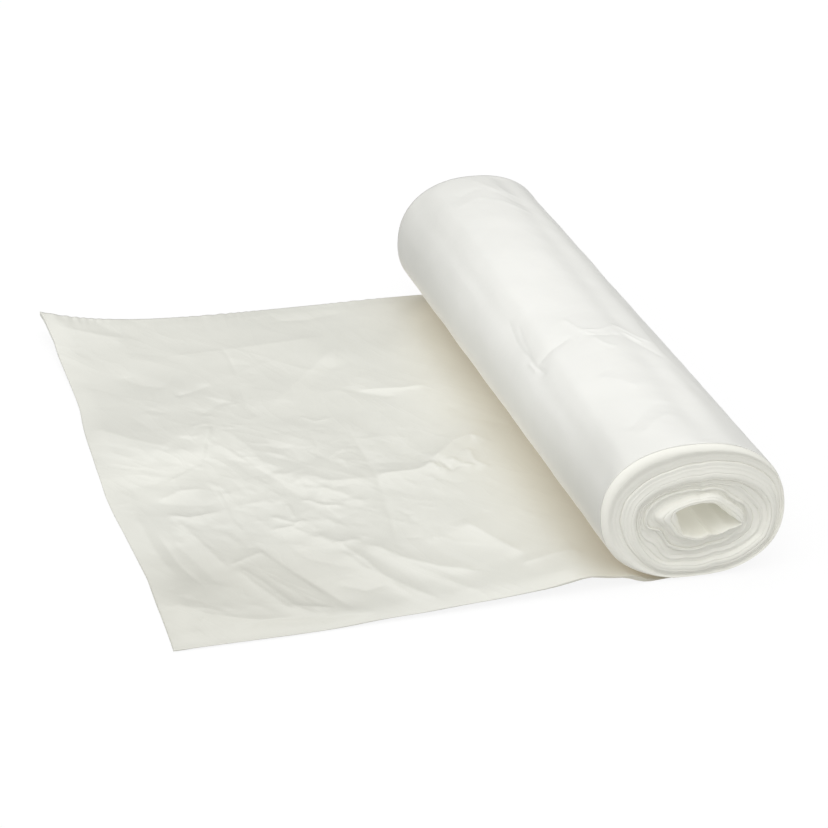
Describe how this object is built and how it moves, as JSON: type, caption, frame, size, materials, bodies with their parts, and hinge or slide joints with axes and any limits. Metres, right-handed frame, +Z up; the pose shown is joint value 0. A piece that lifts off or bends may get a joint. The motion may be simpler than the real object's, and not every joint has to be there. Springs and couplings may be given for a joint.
{
  "type": "roll of freezer bags",
  "caption": "Coreless roll of translucent plastic freezer bags, slumped to an oval, with the outermost bag unrolled and lying creased beside it.",
  "frame": {"origin": "middle of the flat spot under the roll, on the surface that it rests on", "axes": "+Y along the roll, away from its near end; +Z up; the loose bag lies towards -X"},
  "size_m": [0.2401, 0.306, 0.059],
  "materials": {
    "film": "satin"
  },
  "bodies": {
    "root": {"bag_roll": "film"}
  },
  "joints": []
}
